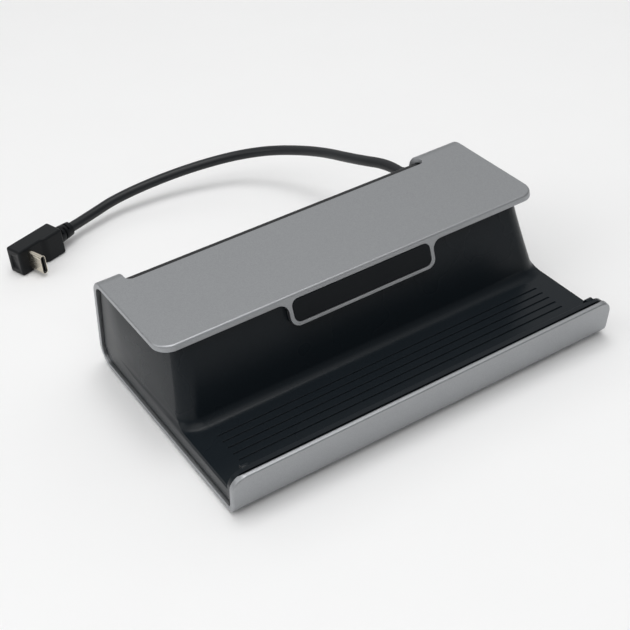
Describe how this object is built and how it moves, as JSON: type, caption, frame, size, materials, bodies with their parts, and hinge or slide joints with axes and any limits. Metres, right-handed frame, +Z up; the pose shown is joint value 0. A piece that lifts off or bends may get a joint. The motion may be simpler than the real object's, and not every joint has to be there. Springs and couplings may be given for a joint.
{
  "type": "handheld console dock",
  "caption": "Desk dock for a handheld game console: a wrapped metal shell around a black grooved cradle, rear sockets and a short cable with a right-angle plug.",
  "frame": {"origin": "centre of the dock's footprint on the table, without the cable and plug", "axes": "+X along the lip, +Y from the lip to the sockets at the back, +Z up"},
  "size_m": [0.158, 0.1925, 0.0415],
  "materials": {
    "shell_metal": "bead-blasted, anodised grey",
    "black_moulding": "fine matt texture",
    "panel_moulding": "fine matt texture",
    "pad_rubber": "matt silicone",
    "foot_rubber": "matt",
    "board": "solder mask",
    "socket_steel": "plated",
    "socket_moulding": "smooth",
    "bond_film": "acrylic foam tape",
    "chip": "moulded",
    "cable_rubber": "satin",
    "plug_moulding": "satin",
    "plug_nickel": "nickel plated"
  },
  "bodies": {
    "root": {"cable": "cable_rubber", "cable_gland": "cable_rubber", "cradle": "black_moulding", "cradle_film": "bond_film", "ethernet_jack": "socket_moulding", "foot_front_left": "foot_rubber", "foot_front_right": "foot_rubber", "foot_rear_left": "foot_rubber", "foot_rear_right": "foot_rubber", "hdmi_shell": "socket_steel", "hdmi_tongue": "socket_moulding", "hub_chip": "chip", "main_board": "board", "metal_shell": "shell_metal", "network_chip": "chip", "plug_body": "plug_moulding", "plug_liner": "socket_moulding", "plug_shell": "plug_nickel", "port_panel": "panel_moulding", "power_shell": "socket_steel", "power_tongue": "socket_moulding", "tab_pad": "pad_rubber", "usb_a_shell_1": "socket_steel", "usb_a_shell_2": "socket_steel", "usb_a_shell_3": "socket_steel", "usb_a_tongue_1": "socket_moulding", "usb_a_tongue_2": "socket_moulding", "usb_a_tongue_3": "socket_moulding", "video_chip": "chip"}
  },
  "joints": []
}
